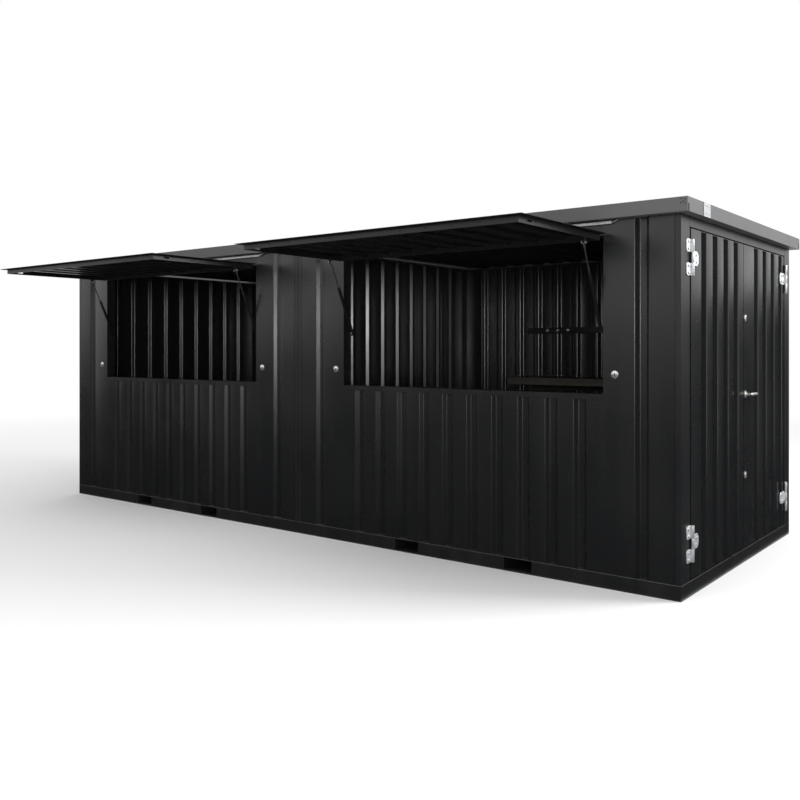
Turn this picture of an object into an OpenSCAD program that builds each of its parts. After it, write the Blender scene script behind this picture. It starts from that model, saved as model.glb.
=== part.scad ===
// Container bar: two coupled sheet-steel modules with a serving hatch each, and
// a double door in the right-hand end. Millimetres. +X runs along the serving
// front towards the doors, +Y into the building, +Z up. The origin is the centre
// of the underside. The hatches are drawn open and the doors closed.

/* [Building] */
// Length of one module over its walls
module_length = 3000; // [2900:10:3600]
// Width of the building over its walls
body_width = 2200; // [2000:10:2600]
// Height from the underside to the roof edge
body_height = 2230; // [2180:10:2600]
// Gap between the two coupled modules
joint_gap = 4; // [2:1:8]

/* [Base] */
// Height of the base frame
base_height = 88; // [86:1:140]
// Width of a base rail
base_rail = 80; // [60:1:120]
// Distance between the two fork pockets of a module
fork_spacing = 890; // [700:10:1100]
// Clear width of a fork pocket
fork_width = 200; // [160:5:240]
// Steel left under a fork pocket
fork_lip = 10; // [6:1:14]
// Wall of a fork pocket
fork_wall = 3; // [2:0.5:5]
// Wall of the base rails
rail_wall = 4; // [3:0.5:6]
// Thickness of the floor panels
floor_thickness = 20; // [12:1:30]

/* [Walls] */
// Thickness of the wall sheets
sheet = 2; // [1.5:0.1:3]
// Depth of a groove in a wall sheet
groove_depth = 28; // [15:1:35]
// Width of a groove at the face of the sheet
groove_width = 86; // [70:1:100]
// Width of a groove at its bottom
groove_floor = 42; // [30:1:50]
// Distance between grooves
groove_pitch = 195; // [150:1:240]
// Distance from a module's corner to the groove beside its hatch
flank_groove = 228; // [150:1:260]
// Face width of a corner post
post_face = 34; // [30:1:50]
// Thickness of the posts and frames
frame_sheet = 3; // [2:0.5:5]

/* [Roof] */
// Height of the roof edge
edge_height = 80; // [60:1:110]
// Overhang of the roof edge past the walls
overhang = 60; // [40:1:90]
// Depth of the grooves in the roof sheets
roof_rib = 20; // [10:1:25]

/* [Hatch] */
// Clear width of a serving hatch
hatch_width = 2060; // [1600:10:2200]
// Height of the hatch sill above the underside
sill_height = 1134; // [900:2:1250]
// Height of the hatch hinge pins above the underside
hatch_pin_height = 2070; // [1960:2:2080]
// Depth of the frame around the hatch
hatch_frame_depth = 78; // [72:1:100]
// Width of the lip that covers the wall around a closed hatch
lip_cover = 38; // [25:1:45]
// Depth of the rim under the hatch sheet
rim_depth = 36; // [30:1:38]
// Play between the rim and the hatch frame
rim_play = 7; // [6:1:12]
// Distance from the opening to the centre of a hatch lock
lock_offset = 74; // [70:1:90]
// Diameter of a lock rosette
rosette_diameter = 46; // [40:1:60]

/* [Gas struts] */
// Distance from the hinge pin to the strut's pivot on the hatch
strut_reach = 165; // [150:1:200]
// Depth of that pivot below the hinge pin
strut_drop = 62; // [58:1:70]
// Distance from the wall face inwards to the lower pivot
strut_inset = 55; // [50:1:62]
// Height of the lower pivot above the underside
strut_foot_height = 1500; // [1450:5:1560]
// Outer diameter of the gas cylinder
cylinder_diameter = 22; // [18:1:24]
// Length of the gas cylinder with its ends
cylinder_length = 372; // [330:1:376]
// Diameter of the piston rod
rod_diameter = 8; // [6:1:10]
// Distance from the hatch frame to the middle of a strut
strut_side = 40; // [32:1:60]

/* [Doors] */
// Face width of a door post
door_post = 130; // [120:1:170]
// Thickness of a door leaf
leaf_depth = 40; // [34:1:50]
// Gap above, below and between the door leaves
leaf_gap = 8; // [6:1:12]
// Open joint between a door post and its leaf, which the hinges bridge
hinge_gap = 22; // [12:1:28]
// Distance of the door hinge pins in front of the end wall
door_pin_out = 14; // [12:1:20]
// Height of a door hinge
hinge_height = 207; // [170:1:240]
// Height of the lower hinges' centres above the underside
hinge_low = 300; // [260:1:400]
// Height of the upper hinges' centres above the underside
hinge_high = 1915; // [1700:1:1950]
// Height of the door handle above the underside
handle_height = 1100; // [950:1:1200]
// Length of the door handle
handle_length = 135; // [110:1:170]

/* [Inside] */
// Height of the hook rails above the underside
rail_height = 1560; // [1450:10:1700]
// Length of a hook rail
rail_length = 1500; // [1000:10:2000]
// Height of the back shelves above the underside
shelf_height = 1150; // [900:10:1200]
// Depth of the back shelves
shelf_depth = 380; // [250:10:450]

/* [Hidden] */

PAINT = "#1b1c1e";
ZINC = "silver";

half_width = body_width / 2;
module_span = module_length - joint_gap / 2;
module_centre = (joint_gap / 2 + module_length) / 2;
SIDES = [-1, 1];

wall_top = body_height - edge_height;
wall_height = wall_top - base_height;
panel_depth = groove_depth + sheet;

fork_top = base_height - fork_wall;

// The hinge pin lies in front of the wall and above the clear opening.
pin_out = 8;
pin_radius = 3;
knuckle_radius = 6;
pin_play = 0.06;
opening_top = hatch_pin_height - 10;

// The hatch sheet clears the wall by 5 mm when it is shut.
lip_clear = 5;
lip_start = 14;
rim_start = 22;
hatch_reach = hatch_pin_height - sill_height + lip_cover;
rim_reach = hatch_pin_height - sill_height - rim_play;
hatch_grooves = floor(hatch_width / groove_pitch) - 1;
hatch_groove_span = (hatch_grooves - 1) * groove_pitch;
hatch_rib = 20;
hinge_places = [-1, 0, 1];
hinge_step = hatch_width / 2 - 200;
hinge_half_length = 50;
leaf_sheet = 3;

// The strut lies on the line from its foot to its pivot under the open hatch.
strut_lean = strut_reach + pin_out + strut_inset;
strut_rise = hatch_pin_height - strut_drop - strut_foot_height;
strut_length = sqrt(pow(strut_lean, 2) + pow(strut_rise, 2));
strut_tilt = atan2(strut_lean, strut_rise);
rod_radius = rod_diameter / 2;
cylinder_radius = cylinder_diameter / 2;
rod_play = 0.3;
rod_engaged = 60;
rod_length = strut_length - cylinder_length + rod_engaged;
foot_play = 0.8;
eye_radius = 8;
eye_width = 10;
stud_radius = 4;

front_face = -half_width;
end_face = module_length;
door_z0 = base_height + leaf_gap;
door_header_height = 60;
door_z1 = wall_top - door_header_height - leaf_gap;
door_pin_y = half_width - door_post - hinge_gap / 2;
leaf_width = door_pin_y - hinge_gap / 2 - leaf_gap / 2;
leaf_stop = 14;
leaf_grooves = 4;
// How far each leaf's grooves lie from its middle, towards the other leaf.
leaf_row_shift = [30, -90];
leaf_rim = 30;
barrel_radius = 9;
door_pin_radius = 5;
plate_sheet = 4;
plate_height = 73;
plate_width = 60;
strap_height = 84;
strap_width = 115;
hinge_z = [hinge_low, hinge_high];

// ---- shared shapes ----

// Outline of a grooved sheet of a given length. Its face lies on y = 0 and its
// grooves run into +y.
module grooved_outline(length, centres, depth = groove_depth, thickness = sheet) {
    low = [for (c = centres) each [
        [c - groove_width / 2, 0], [c - groove_floor / 2, depth],
        [c + groove_floor / 2, depth], [c + groove_width / 2, 0]]];
    face = concat([[0, 0]], low, [[length, 0]]);
    back = [for (i = [len(face) - 1 : -1 : 0]) face[i] + [0, thickness]];
    polygon(concat(face, back));
}

// Centres of evenly spaced grooves that are centred on a length.
function groove_row(length, count) =
    [for (i = [0 : count - 1]) length / 2 + (i - (count - 1) / 2) * groove_pitch];

// As many grooves as a length takes, with a flat strip at each end.
function full_row(length) = groove_row(length, floor((length - 90) / groove_pitch));

// A block given by its two corners.
module block(low, high) {
    translate(low) cube(high - low);
}

// What both modules have, at each module's centre.
module each_module() {
    for (side = SIDES) translate([side * module_centre, 0, 0]) children();
}

module along_x(length, radius) {
    rotate([0, 90, 0]) cylinder(h = length, r = radius, center = true, $fn = 32);
}

// ---- base ----

module base_frame(side) {
    inner = base_rail;
    far = module_length;
    color(PAINT) mirror([side < 0 ? 1 : 0, 0, 0]) difference() {
        union() {
            difference() {
                block([base_rail, -half_width, 0], [far, half_width, base_height]);
                block([base_rail - 1, -half_width + inner, -1],
                      [far - base_rail, half_width - inner, base_height + 1]);
            }
            for (place = SIDES) translate([module_centre + place * fork_spacing / 2, 0, 0])
                block([-fork_width / 2 - fork_wall, -half_width, 0],
                      [fork_width / 2 + fork_wall, half_width, base_height]);
        }
        for (place = SIDES) translate([module_centre + place * fork_spacing / 2, 0, 0])
            block([-fork_width / 2, -half_width - 1, fork_lip],
                  [fork_width / 2, half_width + 1, fork_top]);
        for (y = SIDES) rail_hollow(y);
        end_rail_hollow();
    }
}

// The rails are channels that are open to the inside of the frame.
module rail_hollow(y) {
    jamb = fork_width / 2 + fork_wall + 8;
    pockets = [for (place = SIDES) module_centre + place * fork_spacing / 2];
    ends = [base_rail + 8, pockets[0] - jamb, pockets[0] + jamb, pockets[1] - jamb,
            pockets[1] + jamb, module_length - base_rail];
    mirror([0, y > 0 ? 1 : 0, 0]) for (bay = [0 : 2])
        block([ends[2 * bay], -half_width + rail_wall, rail_wall],
              [ends[2 * bay + 1], -half_width + base_rail + 1, base_height - rail_wall]);
}

module end_rail_hollow() {
    block([module_length - base_rail - 1, -half_width + base_rail, rail_wall],
          [module_length - rail_wall, half_width - base_rail, base_height - rail_wall]);
}

// The middle rails of the coupled modules, back to back on one web.
module base_joint_rail() {
    color(PAINT) difference() {
        block([-base_rail, -half_width, 0], [base_rail, half_width, base_height]);
        for (x = SIDES) mirror([x < 0 ? 1 : 0, 0, 0])
            block([rail_wall, -half_width + rail_wall, rail_wall],
                  [base_rail + 1, half_width - rail_wall, base_height - rail_wall]);
    }
}

module floor_panels() {
    inset = panel_depth + 6;
    color("#3a3a3c") for (side = SIDES) mirror([side < 0 ? 1 : 0, 0, 0])
        block([joint_gap / 2 + inset, -half_width + inset, base_height],
              [module_length - leaf_depth - 12, half_width - inset,
               base_height + floor_thickness]);
}

// ---- walls ----

flank_width = module_span / 2 - hatch_width / 2 - frame_sheet - post_face;

module front_flanks() {
    length = flank_width;
    color(PAINT) each_module() for (side = SIDES) mirror([side < 0 ? 1 : 0, 0, 0])
        translate([hatch_width / 2 + frame_sheet, front_face, base_height])
            linear_extrude(wall_height)
                grooved_outline(length, [module_span / 2 - hatch_width / 2 - frame_sheet
                                         - flank_groove]);
}

module front_panels() {
    length = hatch_width + 2 * frame_sheet;
    color(PAINT) each_module() translate([-length / 2, front_face, 0]) {
        translate([0, 0, base_height]) linear_extrude(panel_top - base_height)
            grooved_outline(length, groove_row(length, hatch_grooves + 1));
        block([0, 0, panel_top], [length, sheet, sill_height - frame_sheet]);
        block([0, sheet, panel_top], [length, panel_depth, panel_top + sheet]);
    }
}

panel_top = sill_height - 36;

module hatch_headers() {
    length = hatch_width + 2 * frame_sheet;
    low = opening_top + frame_sheet;
    color(PAINT) each_module() translate([-length / 2, front_face, 0]) difference() {
        block([0, 0, low], [length, panel_depth, wall_top]);
        block([-1, frame_sheet, low + frame_sheet],
              [length + 1, panel_depth + 1, wall_top - frame_sheet]);
    }
}

// The frame around a hatch: a plate on each side of the opening with a flange
// that stiffens it inside.
module hatch_frames() {
    outer = hatch_width / 2 + frame_sheet;
    flange = outer + 30;
    color(PAINT) each_module() translate([0, front_face, 0]) difference() {
        union() {
            block([-outer, 0, sill_height - frame_sheet],
                  [outer, hatch_frame_depth, opening_top + frame_sheet]);
            block([-flange, hatch_frame_depth - frame_sheet, sill_height - 33],
                  [flange, hatch_frame_depth, opening_top + 33]);
        }
        block([-hatch_width / 2, -1, sill_height],
              [hatch_width / 2, hatch_frame_depth + 1, opening_top]);
    }
}

module back_walls() {
    length = module_span - 2 * post_face;
    color(PAINT) each_module() translate([length / 2, half_width, base_height])
        rotate([0, 0, 180]) linear_extrude(wall_height)
            grooved_outline(length, full_row(length));
}

module left_end_wall() {
    length = body_width - 2 * post_face;
    color(PAINT) translate([-module_length, length / 2, base_height])
        rotate([0, 0, -90]) linear_extrude(wall_height)
            grooved_outline(length, full_row(length));
}

module cross_wall() {
    length = body_width - 2 * post_face;
    color(PAINT) translate([joint_gap / 2, length / 2, base_height])
        rotate([0, 0, -90]) linear_extrude(wall_height)
            grooved_outline(length, full_row(length));
}

// ---- posts ----

// An angle post at a corner whose two faces run into +x and +y.
module angle_post(x_face, y_face) {
    linear_extrude(wall_height) difference() {
        square([x_face, y_face]);
        translate([frame_sheet, frame_sheet]) square([x_face, y_face]);
    }
}

module corner_posts() {
    color(PAINT) for (y = SIDES) mirror([0, y > 0 ? 1 : 0, 0])
        translate([-module_length, -half_width, base_height]) angle_post(post_face, post_face);
}

module joint_posts() {
    color(PAINT) for (y = SIDES, x = SIDES)
        mirror([x < 0 ? 1 : 0, 0, 0]) mirror([0, y > 0 ? 1 : 0, 0])
            translate([joint_gap / 2, -half_width, base_height])
                angle_post(post_face, post_face);
}

// The folded posts that the leaves hang on. A rebate on each runs in behind its
// leaf and closes the open joint.
door_wrap = leaf_depth + 10;
module door_posts() {
    color(PAINT) for (y = SIDES) mirror([0, y > 0 ? 1 : 0, 0])
        translate([module_length, -half_width, base_height]) mirror([1, 0, 0])
            linear_extrude(wall_height) difference() {
                union() {
                    square([door_wrap, door_post]);
                    translate([door_wrap - frame_sheet, 0])
                        square([frame_sheet, door_post + hinge_gap + leaf_stop]);
                }
                translate([frame_sheet, frame_sheet])
                    square([door_wrap - 2 * frame_sheet, door_post - 2 * frame_sheet]);
                translate([frame_sheet, frame_sheet])
                    square([door_wrap, door_post - 2 * frame_sheet - 40]);
                translate([post_face, -1]) square([door_wrap, panel_depth]);
            }
}

module door_header() {
    color(PAINT) difference() {
        block([end_face - door_wrap + frame_sheet, -half_width + door_post,
               door_z1 + leaf_gap],
              [end_face, half_width - door_post, wall_top]);
        block([end_face - door_wrap, -half_width + door_post - 1,
               door_z1 + leaf_gap + frame_sheet],
              [end_face - frame_sheet, half_width - door_post + 1, wall_top - frame_sheet]);
    }
}

// ---- roof ----

// Channel that runs round a module's roof on three sides and butts the other
// module at the joint.
module roof_edges() {
    far = module_length + overhang;
    side = half_width + overhang;
    color(PAINT) for (x = SIDES) mirror([x < 0 ? 1 : 0, 0, 0]) difference() {
        block([joint_gap / 2, -side, wall_top], [far, side, body_height]);
        block([joint_gap / 2 + frame_sheet, -side + frame_sheet, wall_top + frame_sheet],
              [far - frame_sheet, side - frame_sheet, body_height - frame_sheet]);
        block([joint_gap / 2 + 50, -side + 110, wall_top - 1],
              [far - 110, side - 110, wall_top + frame_sheet + 1]);
        block([joint_gap / 2 + 30, -side + 40, body_height - frame_sheet - 1],
              [far - 40, side - 40, body_height + 1]);
    }
}

roof_z = wall_top + frame_sheet;

// Grooved sheets that lie on the bottom flange of the roof edge.
module roof_sheets() {
    length = module_span - 20;
    reach = half_width + overhang - frame_sheet - 5;
    color(PAINT) each_module() translate([-length / 2, reach, roof_z + sheet + roof_rib])
        rotate([90, 0, 0]) mirror([0, 1, 0]) linear_extrude(2 * reach)
            grooved_outline(length, full_row(length), roof_rib, sheet);
}

module roof_joint_cap() {
    side = half_width + overhang;
    color(PAINT) block([-32, -side, body_height], [32, side, body_height + frame_sheet]);
}

// Zinc plate over the seam in the roof edge above the doors.
splice_from_corner = 185;
splice_width = 110;

module splice_plate() {
    color(ZINC)
        block([module_length + overhang, -half_width + splice_from_corner, wall_top],
              [module_length + overhang + 2, -half_width + splice_from_corner + splice_width,
               body_height]);
}

// ---- hatch locks and fittings inside ----

module hatch_locks() {
    color(ZINC) each_module() for (side = SIDES)
        translate([side * (hatch_width / 2 + lock_offset), front_face, sill_height + 116])
            rotate([90, 0, 0]) union() {
                cylinder(h = 4, d = rosette_diameter, $fn = 48);
                cylinder(h = 7, r = 14, $fn = 32);
            }
}

module hook_rails() {
    color(PAINT) each_module() translate([0, half_width - panel_depth, rail_height])
        difference() {
            block([-rail_length / 2, -40, -25], [rail_length / 2, 0, 25]);
            block([-rail_length / 2 - 1, -40 + frame_sheet, -25 + frame_sheet],
                  [rail_length / 2 + 1, 1, 25 - frame_sheet]);
        }
}

module back_shelves() {
    drop = 120;
    color("#2a2a2c") each_module() translate([0, half_width - panel_depth, shelf_height])
        union() {
            block([-rail_length / 2, -shelf_depth, -30], [rail_length / 2, 0, 0]);
            block([-rail_length / 2, -frame_sheet, -drop], [rail_length / 2, 0, 0]);
            block([-rail_length / 2, -shelf_depth, -60],
                  [rail_length / 2, -shelf_depth + frame_sheet, 0]);
        }
}

// ---- hatches ----

module hatch_hinge_wall_leaves() {
    color(PAINT) each_module() for (place = hinge_places)
        translate([place * hinge_step, front_face - pin_out, hatch_pin_height]) difference() {
            union() {
                along_x(hinge_half_length, knuckle_radius);
                block([-hinge_half_length / 2, pin_out - leaf_sheet, 0],
                      [hinge_half_length / 2, pin_out, 34]);
                block([-hinge_half_length / 2, 0, -1],
                      [hinge_half_length / 2, pin_out, leaf_sheet - 1]);
            }
            along_x(hinge_half_length + 2, pin_radius + pin_play);
        }
}

// The hatch pieces are drawn open. Local axes at the hinge pin: -y is the way
// out from the wall and z = 0 the height of the pin.
module at_hatch(side) {
    translate([side * module_centre, front_face - pin_out, hatch_pin_height]) children();
}

// The closed sheet lies outside the wall by its clearance.
lip_bottom = -(pin_out - lip_clear);
lip_top = lip_bottom + sheet;
rib_begin = rim_start + leaf_sheet + 3;
rib_end = rim_reach - leaf_sheet - 3;

module hatch_sheet(side) {
    wide = hatch_width + 2 * lip_cover;
    ribbed = hatch_groove_span + groove_width + 60;
    row = groove_row(ribbed, hatch_grooves);
    color(PAINT) at_hatch(side) union() {
        block([-wide / 2, -hatch_reach, lip_bottom], [wide / 2, -rib_end, lip_top]);
        block([-wide / 2, -rib_begin, lip_bottom], [wide / 2, -lip_start, lip_top]);
        for (x = SIDES) mirror([x < 0 ? 1 : 0, 0, 0])
            block([ribbed / 2, -rib_end, lip_bottom], [wide / 2, -rib_begin, lip_top]);
        translate([-ribbed / 2, -rib_begin, lip_top]) rotate([90, 0, 0])
            mirror([0, 1, 0]) linear_extrude(rib_end - rib_begin)
                grooved_outline(ribbed, row, hatch_rib, sheet);
    }
}

module hatch_rim(side) {
    wide = hatch_width - 2 * rim_play;
    rim_bottom = lip_bottom - rim_depth;
    color(PAINT) at_hatch(side) difference() {
        block([-wide / 2, -rim_reach, rim_bottom], [wide / 2, -rim_start, lip_bottom]);
        block([-wide / 2 + leaf_sheet, -rim_reach + leaf_sheet, rim_bottom - 1],
              [wide / 2 - leaf_sheet, -rim_start - leaf_sheet, lip_bottom + 1]);
        for (x = SIDES) translate([x * wide / 2, -rim_reach + 110, rim_bottom + rim_depth / 2])
            cube([20, 46, 12], center = true);
    }
}

module hatch_hinges(side) {
    gap = 0.4;
    outer = 28;
    color(PAINT) at_hatch(side) for (place = hinge_places)
        translate([place * hinge_step, 0, 0]) union() {
            along_x(hinge_half_length + 2 * gap + 2 * outer, pin_radius);
            for (x = SIDES) translate([x * (hinge_half_length / 2 + gap + outer / 2), 0, 0]) {
                along_x(outer, knuckle_radius);
                block([-outer / 2, -40, lip_top], [outer / 2, 0, lip_top + leaf_sheet]);
            }
        }
}

// ---- gas struts ----

strut_x = hatch_width / 2 - strut_side;
bracket_x = strut_x + eye_width / 2 + 1;
head_y = -strut_reach;
head_z = -strut_drop;

// Brackets under the hatch that hold a ball stud for each strut.
module strut_head_brackets(side) {
    reach = hatch_width / 2 - rim_play - leaf_sheet;
    color(ZINC) at_hatch(side) for (x = SIDES) mirror([x < 0 ? 1 : 0, 0, 0]) union() {
        translate([bracket_x + 1.5, head_y, head_z]) rotate([0, 90, 0])
            cylinder(h = leaf_sheet, r = 11, $fn = 32);
        block([bracket_x + 1.5, head_y - 11, head_z],
              [bracket_x + 1.5 + leaf_sheet, head_y + 11, lip_bottom - rim_depth / 2]);
        block([bracket_x + 1.5, head_y - 25, lip_bottom - rim_depth / 2],
              [reach, head_y + 25, lip_bottom - rim_depth / 2 + leaf_sheet]);
        translate([strut_x - eye_width / 2 - 2, head_y, head_z]) rotate([0, 90, 0])
            cylinder(h = eye_width + 4.5, r = stud_radius, $fn = 32);
    }
}

// Brackets on the hatch frame beside the foot of each strut.
module strut_foot_brackets() {
    color(ZINC) each_module() for (x = SIDES) mirror([x < 0 ? 1 : 0, 0, 0])
        translate([0, front_face + strut_inset, strut_foot_height]) union() {
            block([hatch_width / 2 - leaf_sheet, -20, -40], [hatch_width / 2, 20, 40]);
            translate([strut_x + cylinder_radius + foot_play, 0, 0]) rotate([0, 90, 0])
                cylinder(h = strut_side - cylinder_radius - foot_play, r = stud_radius + 2,
                         $fn = 32);
        }
}

// The strut's own axes: z runs from its foot to its pivot on the hatch.
module on_strut(side, end) {
    translate([side * module_centre + end * strut_x, front_face + strut_inset,
               strut_foot_height])
        rotate([strut_tilt, 0, 0]) children();
}

module strut_rod(side, end) {
    color("#b9bcc0") on_strut(side, end) difference() {
        union() {
            translate([0, 0, cylinder_length - rod_engaged]) cylinder(h = rod_length - 4,
                                                                      r = rod_radius, $fn = 32);
            translate([0, 0, strut_length]) along_x(eye_width, eye_radius);
            translate([0, 0, strut_length - 30]) cylinder(h = 25, r = 6, $fn = 32);
        }
        translate([0, 0, strut_length]) along_x(eye_width + 2, stud_radius + 0.1);
    }
}

module strut_cylinder(side, end) {
    bore = rod_radius + rod_play;
    wall = 2;
    foot_eye = eye_width / 2 + cylinder_radius;
    color("#111214") on_strut(side, end) union() {
        translate([end * (foot_eye - eye_width) / 2, 0, 0]) along_x(foot_eye, eye_radius);
        cylinder(h = 20, r = 5, $fn = 32);
        difference() {
            translate([0, 0, 20]) cylinder(h = cylinder_length - 20, r = cylinder_radius,
                                           $fn = 48);
            translate([0, 0, 26]) cylinder(h = cylinder_length - 26 - 12,
                                           r = cylinder_radius - wall, $fn = 48);
            translate([0, 0, 30]) cylinder(h = cylinder_length, r = bore, $fn = 32);
        }
    }
}

// ---- doors ----

// Leaves are drawn for the front side, with y measured from the hinge pin
// towards the middle of the doorway, and mirrored for the back one.
module at_door(y) {
    mirror([0, y > 0 ? 1 : 0, 0]) translate([end_face, -door_pin_y, 0]) children();
}

module door_leaf(y) {
    first = hinge_gap / 2;
    tall = door_z1 - door_z0;
    row_middle = leaf_width / 2 + leaf_row_shift[y > 0 ? 1 : 0];
    row = [for (i = [0 : leaf_grooves - 1])
           row_middle + (i - (leaf_grooves - 1) / 2) * groove_pitch];
    color(PAINT) at_door(y) translate([0, first, door_z0]) union() {
        rotate([0, 0, 90]) linear_extrude(tall) grooved_outline(leaf_width, row);
        difference() {
            block([-leaf_depth, 0, 0], [-sheet, leaf_width, tall]);
            block([-leaf_depth - 1, frame_sheet, frame_sheet],
                  [-sheet + 1, leaf_width - frame_sheet, tall - frame_sheet]);
        }
        leaf_return(tall);
    }
}

// The folded edge of a leaf, turned inwards behind the sheet.
module leaf_return(tall) {
    difference() {
        block([-leaf_depth, 0, 0], [-leaf_depth + frame_sheet, leaf_width, tall]);
        block([-leaf_depth - 1, leaf_rim, leaf_rim],
              [-leaf_depth + frame_sheet + 1, leaf_width - leaf_rim, tall - leaf_rim]);
    }
}

knuckle = (hinge_height - 2 * plate_height) - 0.8;

module door_hinges(y) {
    color(ZINC) at_door(y) for (z = hinge_z) translate([door_pin_out, 0, z]) {
        difference() {
            union() {
                cylinder(h = knuckle, r = barrel_radius, center = true, $fn = 48);
                block([-door_pin_out, 5, -strap_height / 2],
                      [-door_pin_out + plate_sheet, 5 + strap_width, strap_height / 2]);
                block([-door_pin_out, 5, -knuckle / 2],
                      [0, 8, knuckle / 2]);
            }
            cylinder(h = knuckle + 2, r = door_pin_radius + pin_play, center = true, $fn = 48);
        }
    }
}

module door_hinge_post_plates() {
    color(ZINC) for (y = SIDES) at_door(y) for (z = hinge_z)
        translate([door_pin_out, 0, z]) union() {
            cylinder(h = hinge_height, r = door_pin_radius, center = true, $fn = 48);
            for (end = SIDES) translate([0, 0, end * (hinge_height - plate_height) / 2]) {
                cylinder(h = plate_height, r = barrel_radius, center = true, $fn = 48);
                block([-door_pin_out, -5 - plate_width, -plate_height / 2],
                      [-door_pin_out + plate_sheet, -5, plate_height / 2]);
                block([-door_pin_out, -8, -plate_height / 2], [0, -5, plate_height / 2]);
            }
        }
}

handle_y = 32;
lock_z = [570, 1600];
edge_y = leaf_width + hinge_gap / 2;

module door_locks() {
    color(ZINC) at_door(1) for (z = lock_z)
        translate([0, edge_y - handle_y, z]) rotate([0, 90, 0]) union() {
            cylinder(h = 4, d = rosette_diameter, $fn = 48);
            cylinder(h = 7, r = 14, $fn = 32);
        }
}

module door_handle() {
    neck = 46;
    color(ZINC) at_door(1) translate([0.3, edge_y - handle_y, handle_height]) union() {
        rotate([0, 90, 0]) cylinder(h = 5, r = 24, $fn = 48);
        rotate([0, 90, 0]) cylinder(h = neck, r = 9, $fn = 32);
        translate([neck - 8, 10, 0]) rotate([90, 0, 0])
            cylinder(h = handle_length, r = 9, $fn = 32);
    }
}

base_frame(-1);  // base_frame_left
base_frame(1);  // base_frame_right
base_joint_rail();
floor_panels();
front_panels();
front_flanks();
hatch_headers();
hatch_frames();
back_walls();
left_end_wall();
cross_wall();
corner_posts();
joint_posts();
door_posts();
door_header();
roof_edges();
roof_sheets();
roof_joint_cap();
splice_plate();
hatch_locks();
hook_rails();
back_shelves();
hatch_hinge_wall_leaves();
strut_foot_brackets();
door_hinge_post_plates();
hatch_sheet(-1);  // hatch_sheet_left
hatch_rim(-1);  // hatch_rim_left
hatch_hinges(-1);  // hatch_hinges_left
strut_head_brackets(-1);  // strut_head_brackets_left
strut_rod(-1, -1);  // strut_rod_left_a
strut_rod(-1, 1);  // strut_rod_left_b
strut_cylinder(-1, -1);  // strut_cylinder_left_a
strut_cylinder(-1, 1);  // strut_cylinder_left_b
hatch_sheet(1);  // hatch_sheet_right
hatch_rim(1);  // hatch_rim_right
hatch_hinges(1);  // hatch_hinges_right
strut_head_brackets(1);  // strut_head_brackets_right
strut_rod(1, -1);  // strut_rod_right_a
strut_rod(1, 1);  // strut_rod_right_b
strut_cylinder(1, -1);  // strut_cylinder_right_a
strut_cylinder(1, 1);  // strut_cylinder_right_b
door_leaf(-1);  // door_front_leaf
door_hinges(-1);  // door_front_hinges
door_leaf(1);  // door_back_leaf
door_hinges(1);  // door_back_hinges
door_locks();
door_handle();
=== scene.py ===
import math

import bmesh
import bpy
from mathutils import Matrix, Vector


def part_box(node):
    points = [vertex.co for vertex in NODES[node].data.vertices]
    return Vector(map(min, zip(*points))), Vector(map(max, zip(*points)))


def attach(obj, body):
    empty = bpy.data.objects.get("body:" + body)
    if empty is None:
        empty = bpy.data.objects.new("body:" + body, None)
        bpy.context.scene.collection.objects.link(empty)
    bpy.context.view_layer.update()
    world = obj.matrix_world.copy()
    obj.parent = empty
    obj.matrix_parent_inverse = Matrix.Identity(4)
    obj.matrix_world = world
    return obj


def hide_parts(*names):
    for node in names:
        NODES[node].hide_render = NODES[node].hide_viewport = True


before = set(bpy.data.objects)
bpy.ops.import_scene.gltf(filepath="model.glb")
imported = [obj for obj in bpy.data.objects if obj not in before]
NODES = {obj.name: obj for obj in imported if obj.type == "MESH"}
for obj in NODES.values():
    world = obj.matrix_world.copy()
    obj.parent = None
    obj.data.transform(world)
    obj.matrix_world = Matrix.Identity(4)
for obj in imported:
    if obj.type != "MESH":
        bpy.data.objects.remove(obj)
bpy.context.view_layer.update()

# ---------------------------------------------------------------------------
# Camera. It stands off the right front corner at eye height and looks level,
# so the posts stay upright, and its frame holds both open hatches.
# ---------------------------------------------------------------------------
camera_data = bpy.data.cameras.new("camera")
camera_data.sensor_width = 36.0
camera_data.lens = 38.75
camera_data.shift_x = -0.05
camera_data.shift_y = -0.065
camera = bpy.data.objects.new("camera", camera_data)
camera.location = (4.764, -5.708, 1.404)
camera.rotation_euler = (math.radians(90), 0, math.radians(36.59))
bpy.context.collection.objects.link(camera)
scene = bpy.context.scene
scene.camera = camera
scene.view_settings.view_transform = "Standard"

# ---------------------------------------------------------------------------
# Studio. A pale floor and a white surround, soft lamps over the roof, beyond the
# doors and beside the camera, and black cards that only reflections see.
# ---------------------------------------------------------------------------
def plain_material(name):
    material = bpy.data.materials.new(name)
    material.use_nodes = True
    tree = material.node_tree
    return material, tree.nodes, tree.links


def stage_sheet(name, width, depth, place, material):
    sheet = bmesh.new()
    bmesh.ops.create_grid(sheet, x_segments=1, y_segments=1, size=0.5)
    bmesh.ops.scale(sheet, vec=(width, depth, 1), verts=sheet.verts)
    bmesh.ops.transform(sheet, matrix=place, verts=sheet.verts)
    mesh = bpy.data.meshes.new(name)
    sheet.to_mesh(mesh)
    sheet.free()
    mesh.materials.append(material)
    thing = bpy.data.objects.new(name, mesh)
    bpy.context.collection.objects.link(thing)
    return thing


def add_range(tree, value, low, high, out_low, out_high):
    ramp = tree.nodes.new("ShaderNodeMapRange")
    ramp.inputs["From Min"].default_value = low
    ramp.inputs["From Max"].default_value = high
    ramp.inputs["To Min"].default_value = out_low
    ramp.inputs["To Max"].default_value = out_high
    tree.links.new(value, ramp.inputs["Value"])
    return ramp.outputs["Result"]


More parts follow.
